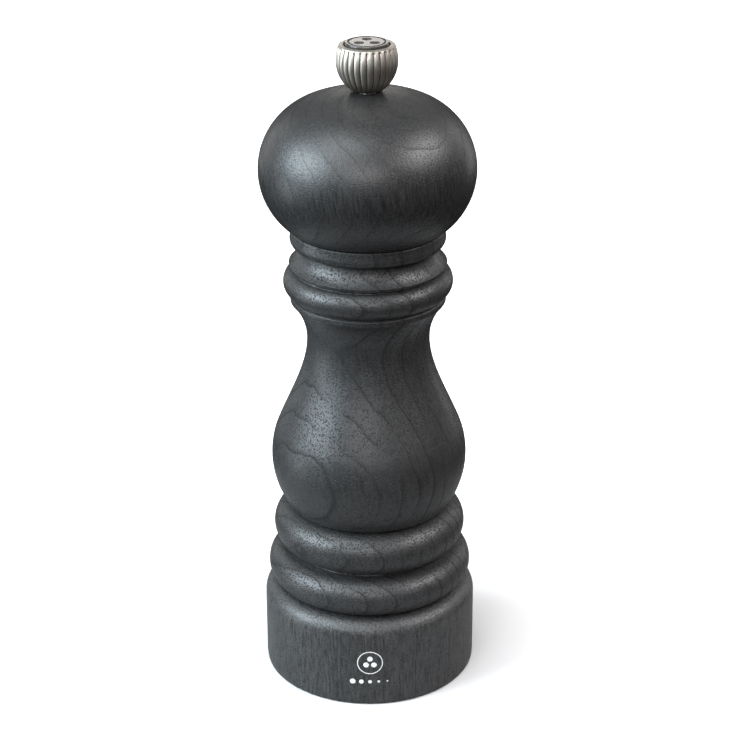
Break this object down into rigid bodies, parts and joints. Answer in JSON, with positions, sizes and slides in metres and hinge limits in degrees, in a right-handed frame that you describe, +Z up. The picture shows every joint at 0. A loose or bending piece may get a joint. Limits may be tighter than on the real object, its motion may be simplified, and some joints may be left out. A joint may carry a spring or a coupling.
{
  "type": "pepper mill",
  "caption": "Hand-turned wooden pepper mill: the head turns a steel burr grinder, the base ring sets the grind, and the ball knob unscrews for filling.",
  "frame": {"origin": "centre of the base ring's flat underside, on the surface that the mill stands on", "axes": "+Z up along the shaft; -Y is the front, where the base ring's printed mark is at rest; +X is to the right"},
  "size_m": [0.0588, 0.0588, 0.18],
  "materials": {
    "stained_wood": "graphite-black stained beech under a satin lacquer, with fine open pores",
    "polished_steel": "fluted stainless steel, polished",
    "dark_cap": "black moulded disc set in the knob",
    "aluminium": "drawn square bar",
    "brass": "turned threaded bush",
    "burr_steel": "case-hardened steel, cut teeth",
    "spring_steel": "spring steel, oiled",
    "zinc_steel": "zinc-plated steel",
    "black_plastic": "moulded black acetal",
    "grey_plastic": "moulded grey acetal"
  },
  "bodies": {
    "body": {"body": "stained_wood", "grinder_housing": "black_plastic", "stator_ring": "burr_steel", "bearing_bridge": "black_plastic", "housing_screw_1": "zinc_steel", "housing_screw_2": "zinc_steel", "housing_screw_3": "zinc_steel", "click_spring": "spring_steel", "click_spring_screw": "zinc_steel", "selector_snap_ring": "spring_steel"},
    "selector": {"grind_selector_ring": "stained_wood", "selector_cam": "grey_plastic"},
    "collar": {"thrust_collar": "grey_plastic", "thrust_washer": "zinc_steel"},
    "shaft": {"drive_shaft": "aluminium", "shaft_clip_lower": "spring_steel", "shaft_clip_upper": "spring_steel", "rotor_spring": "spring_steel"},
    "rotor": {"rotor": "burr_steel", "spring_washer": "zinc_steel"},
    "head": {"head": "stained_wood", "drive_plate": "zinc_steel", "drive_plate_screw_1": "zinc_steel", "drive_plate_screw_2": "zinc_steel", "drive_plate_screw_3": "zinc_steel"},
    "knob_thread": {"knob_insert": "brass"},
    "knob": {"knob": "polished_steel", "knob_cap": "dark_cap"}
  },
  "joints": [
    {"name": "selector_turn", "type": "hinge", "parent": "body", "child": "selector", "pos_m": [0, 0, 0], "axis": [0, 0, 1], "range_deg": [0, 100]},
    {"name": "collar_rise", "type": "slide", "parent": "body", "child": "collar", "axis": [0, 0, 1], "range_m": [0, 0.0015]},
    {"name": "head_turn", "type": "hinge", "parent": "body", "child": "shaft", "pos_m": [0, 0, 0], "axis": [0, 0, 1], "continuous": true},
    {"name": "rotor_rise", "type": "slide", "parent": "shaft", "child": "rotor", "axis": [0, 0, 1], "range_m": [0, 0.0015], "deforming": ["rotor_spring"]},
    {"name": "head_lift", "type": "slide", "parent": "shaft", "child": "head", "axis": [0, 0, 1], "range_m": [0, 0.06]},
    {"name": "knob_rise", "type": "slide", "parent": "head", "child": "knob_thread", "axis": [0, 0, 1], "range_m": [0, 0.0072]},
    {"name": "knob_turn", "type": "hinge", "parent": "knob_thread", "child": "knob", "pos_m": [0, 0, 0.1753], "axis": [0, 0, 1], "range_deg": [0, 3240]}
  ],
  "couplings": [
    {"joint": "collar_rise", "follows": "selector_turn", "m_per_rad": 0.00085944},
    {"joint": "rotor_rise", "follows": "selector_turn", "m_per_rad": 0.00085944},
    {"joint": "knob_rise", "follows": "knob_turn", "m_per_rad": 0.00012732}
  ]
}
